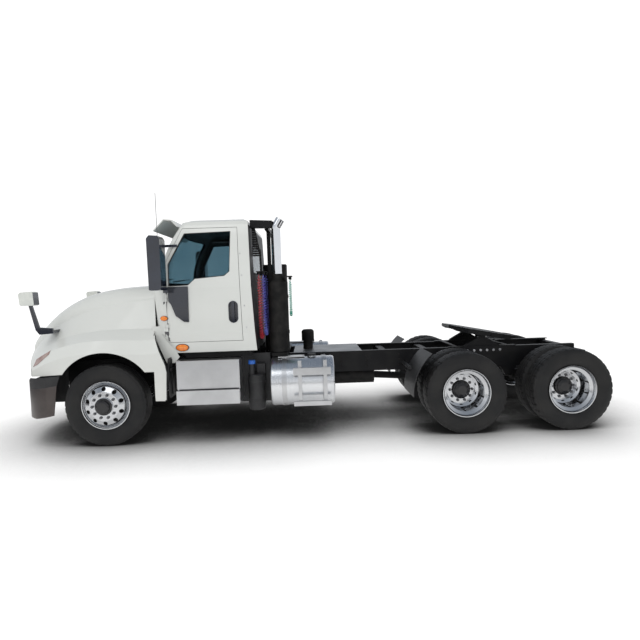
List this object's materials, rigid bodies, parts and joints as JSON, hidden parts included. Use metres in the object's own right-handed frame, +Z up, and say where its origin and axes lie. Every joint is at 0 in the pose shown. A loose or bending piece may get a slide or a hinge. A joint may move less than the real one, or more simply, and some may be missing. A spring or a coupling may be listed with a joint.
{
  "type": "semi truck tractor unit",
  "caption": "White conventional day cab tractor unit with tandem drive axles, fifth wheel, tilting hood, hinged doors and steered front wheels.",
  "frame": {"origin": "on the floor, under the middle of the vehicle's length and width", "axes": "+X forward, +Y to the driver's side, +Z up"},
  "size_m": [7.5258, 2.74, 3.03],
  "materials": {
    "paint": "gloss",
    "frame_black": "satin",
    "bright_alloy": "polished",
    "chrome": "polished",
    "steel": "satin",
    "iron": "matte",
    "tyre": "matte",
    "rubber": "matte",
    "trim": "matte",
    "gloss_trim": "gloss",
    "lamp": "gloss",
    "interior": "matte",
    "seat": "woven",
    "line_red": "satin",
    "line_blue": "satin",
    "line_green": "satin",
    "glass": "clear"
  },
  "bodies": {
    "chassis": {"air_line_blue": "line_blue", "air_line_red": "line_red", "air_springs": "rubber", "air_system": "iron", "bumper": "chrome", "bumper_band": "trim", "cab_back": "paint", "cab_floor": "frame_black", "cab_front": "paint", "cab_glass": "glass", "cab_roof": "paint", "cab_sides": "paint", "crossmembers": "frame_black", "dashboard": "interior", "deck_plate": "bright_alloy", "def_tank": "trim", "driveline": "iron", "engine": "iron", "exhaust_stack": "chrome", "fifth_wheel_base": "frame_black", "frame_rails": "frame_black", "front_axle": "iron", "fuel_tanks": "bright_alloy", "muffler": "steel", "power_line": "line_green", "quarter_fenders": "trim", "radiator": "steel", "seats": "seat", "stack_bracket": "frame_black", "step_boxes": "bright_alloy", "sun_visor": "paint", "suspension_arms": "frame_black", "tank_straps": "bright_alloy"},
    "hood": {"hood": "paint", "grille": "gloss_trim", "hood_mirrors": "gloss_trim", "headlamps": "lamp"},
    "door_left": {"door_left": "paint", "door_glass_left": "glass", "cab_mirror_left": "gloss_trim"},
    "door_right": {"door_right": "paint", "door_glass_right": "glass", "cab_mirror_right": "gloss_trim"},
    "knuckle_left": {"knuckle_left": "iron"},
    "knuckle_right": {"knuckle_right": "iron"},
    "tie_rod": {"tie_rod": "iron"},
    "front_wheel_left": {"wheel_front_left": "bright_alloy", "tyre_front_left": "tyre"},
    "front_wheel_right": {"wheel_front_right": "bright_alloy", "tyre_front_right": "tyre"},
    "drive_wheels_mid_left": {"wheels_mid_left": "bright_alloy", "tyres_mid_left": "tyre"},
    "drive_wheels_mid_right": {"wheels_mid_right": "bright_alloy", "tyres_mid_right": "tyre"},
    "drive_wheels_rear_left": {"wheels_rear_left": "bright_alloy", "tyres_rear_left": "tyre"},
    "drive_wheels_rear_right": {"wheels_rear_right": "bright_alloy", "tyres_rear_right": "tyre"},
    "fifth_wheel": {"fifth_wheel_plate": "frame_black"},
    "steering_wheel": {"steering_wheel": "interior"}
  },
  "joints": [
    {"name": "hood_tilt", "type": "hinge", "parent": "chassis", "child": "hood", "pos_m": [3.643, 0, 0.85], "axis": [0, 1, 0], "range_deg": [0, 60]},
    {"name": "door_left_hinge", "type": "hinge", "parent": "chassis", "child": "door_left", "pos_m": [1.736, 1.064, 1.7], "axis": [0, 0, 1], "range_deg": [-65, 0]},
    {"name": "door_right_hinge", "type": "hinge", "parent": "chassis", "child": "door_right", "pos_m": [1.736, -1.064, 1.7], "axis": [0, 0, 1], "range_deg": [0, 65]},
    {"name": "steer_left", "type": "hinge", "parent": "chassis", "child": "knuckle_left", "pos_m": [2.513, 0.86, 0.506], "axis": [0, 0, 1], "range_deg": [-33, 33]},
    {"name": "steer_right", "type": "hinge", "parent": "chassis", "child": "knuckle_right", "pos_m": [2.513, -0.86, 0.506], "axis": [0, 0, 1], "range_deg": [-33, 33]},
    {"name": "tie_rod_ball_left", "type": "hinge", "parent": "knuckle_left", "child": "tie_rod", "pos_m": [2.333, 0.86, 0.364], "axis": [0, 0, 1], "range_deg": [-33, 33]},
    {"name": "front_wheel_left_spin", "type": "hinge", "parent": "knuckle_left", "child": "front_wheel_left", "pos_m": [2.513, 1.03, 0.506], "axis": [0, 1, 0], "continuous": true},
    {"name": "front_wheel_right_spin", "type": "hinge", "parent": "knuckle_right", "child": "front_wheel_right", "pos_m": [2.513, -1.03, 0.506], "axis": [0, 1, 0], "continuous": true},
    {"name": "fifth_wheel_tilt", "type": "hinge", "parent": "chassis", "child": "fifth_wheel", "pos_m": [-2.397, 0, 1.11], "axis": [0, 1, 0], "range_deg": [0, 20]},
    {"name": "steering_wheel_turn", "type": "hinge", "parent": "chassis", "child": "steering_wheel", "pos_m": [1.363, 0.48, 1.85], "axis": [-0.6157, 0, 0.788], "range_deg": [-660, 660]},
    {"name": "drive_wheels_mid_left_spin", "type": "hinge", "parent": "chassis", "child": "drive_wheels_mid_left", "pos_m": [-1.937, 0.915, 0.506], "axis": [0, 1, 0], "continuous": true},
    {"name": "drive_wheels_mid_right_spin", "type": "hinge", "parent": "chassis", "child": "drive_wheels_mid_right", "pos_m": [-1.937, -0.915, 0.506], "axis": [0, 1, 0], "continuous": true},
    {"name": "drive_wheels_rear_left_spin", "type": "hinge", "parent": "chassis", "child": "drive_wheels_rear_left", "pos_m": [-3.257, 0.915, 0.506], "axis": [0, 1, 0], "continuous": true},
    {"name": "drive_wheels_rear_right_spin", "type": "hinge", "parent": "chassis", "child": "drive_wheels_rear_right", "pos_m": [-3.257, -0.915, 0.506], "axis": [0, 1, 0], "continuous": true}
  ],
  "couplings": [
    {"joint": "steer_right", "follows": "steer_left", "ratio": 1},
    {"joint": "tie_rod_ball_left", "follows": "steer_left", "ratio": -1},
    {"joint": "steering_wheel_turn", "follows": "steer_left", "ratio": 20}
  ]
}
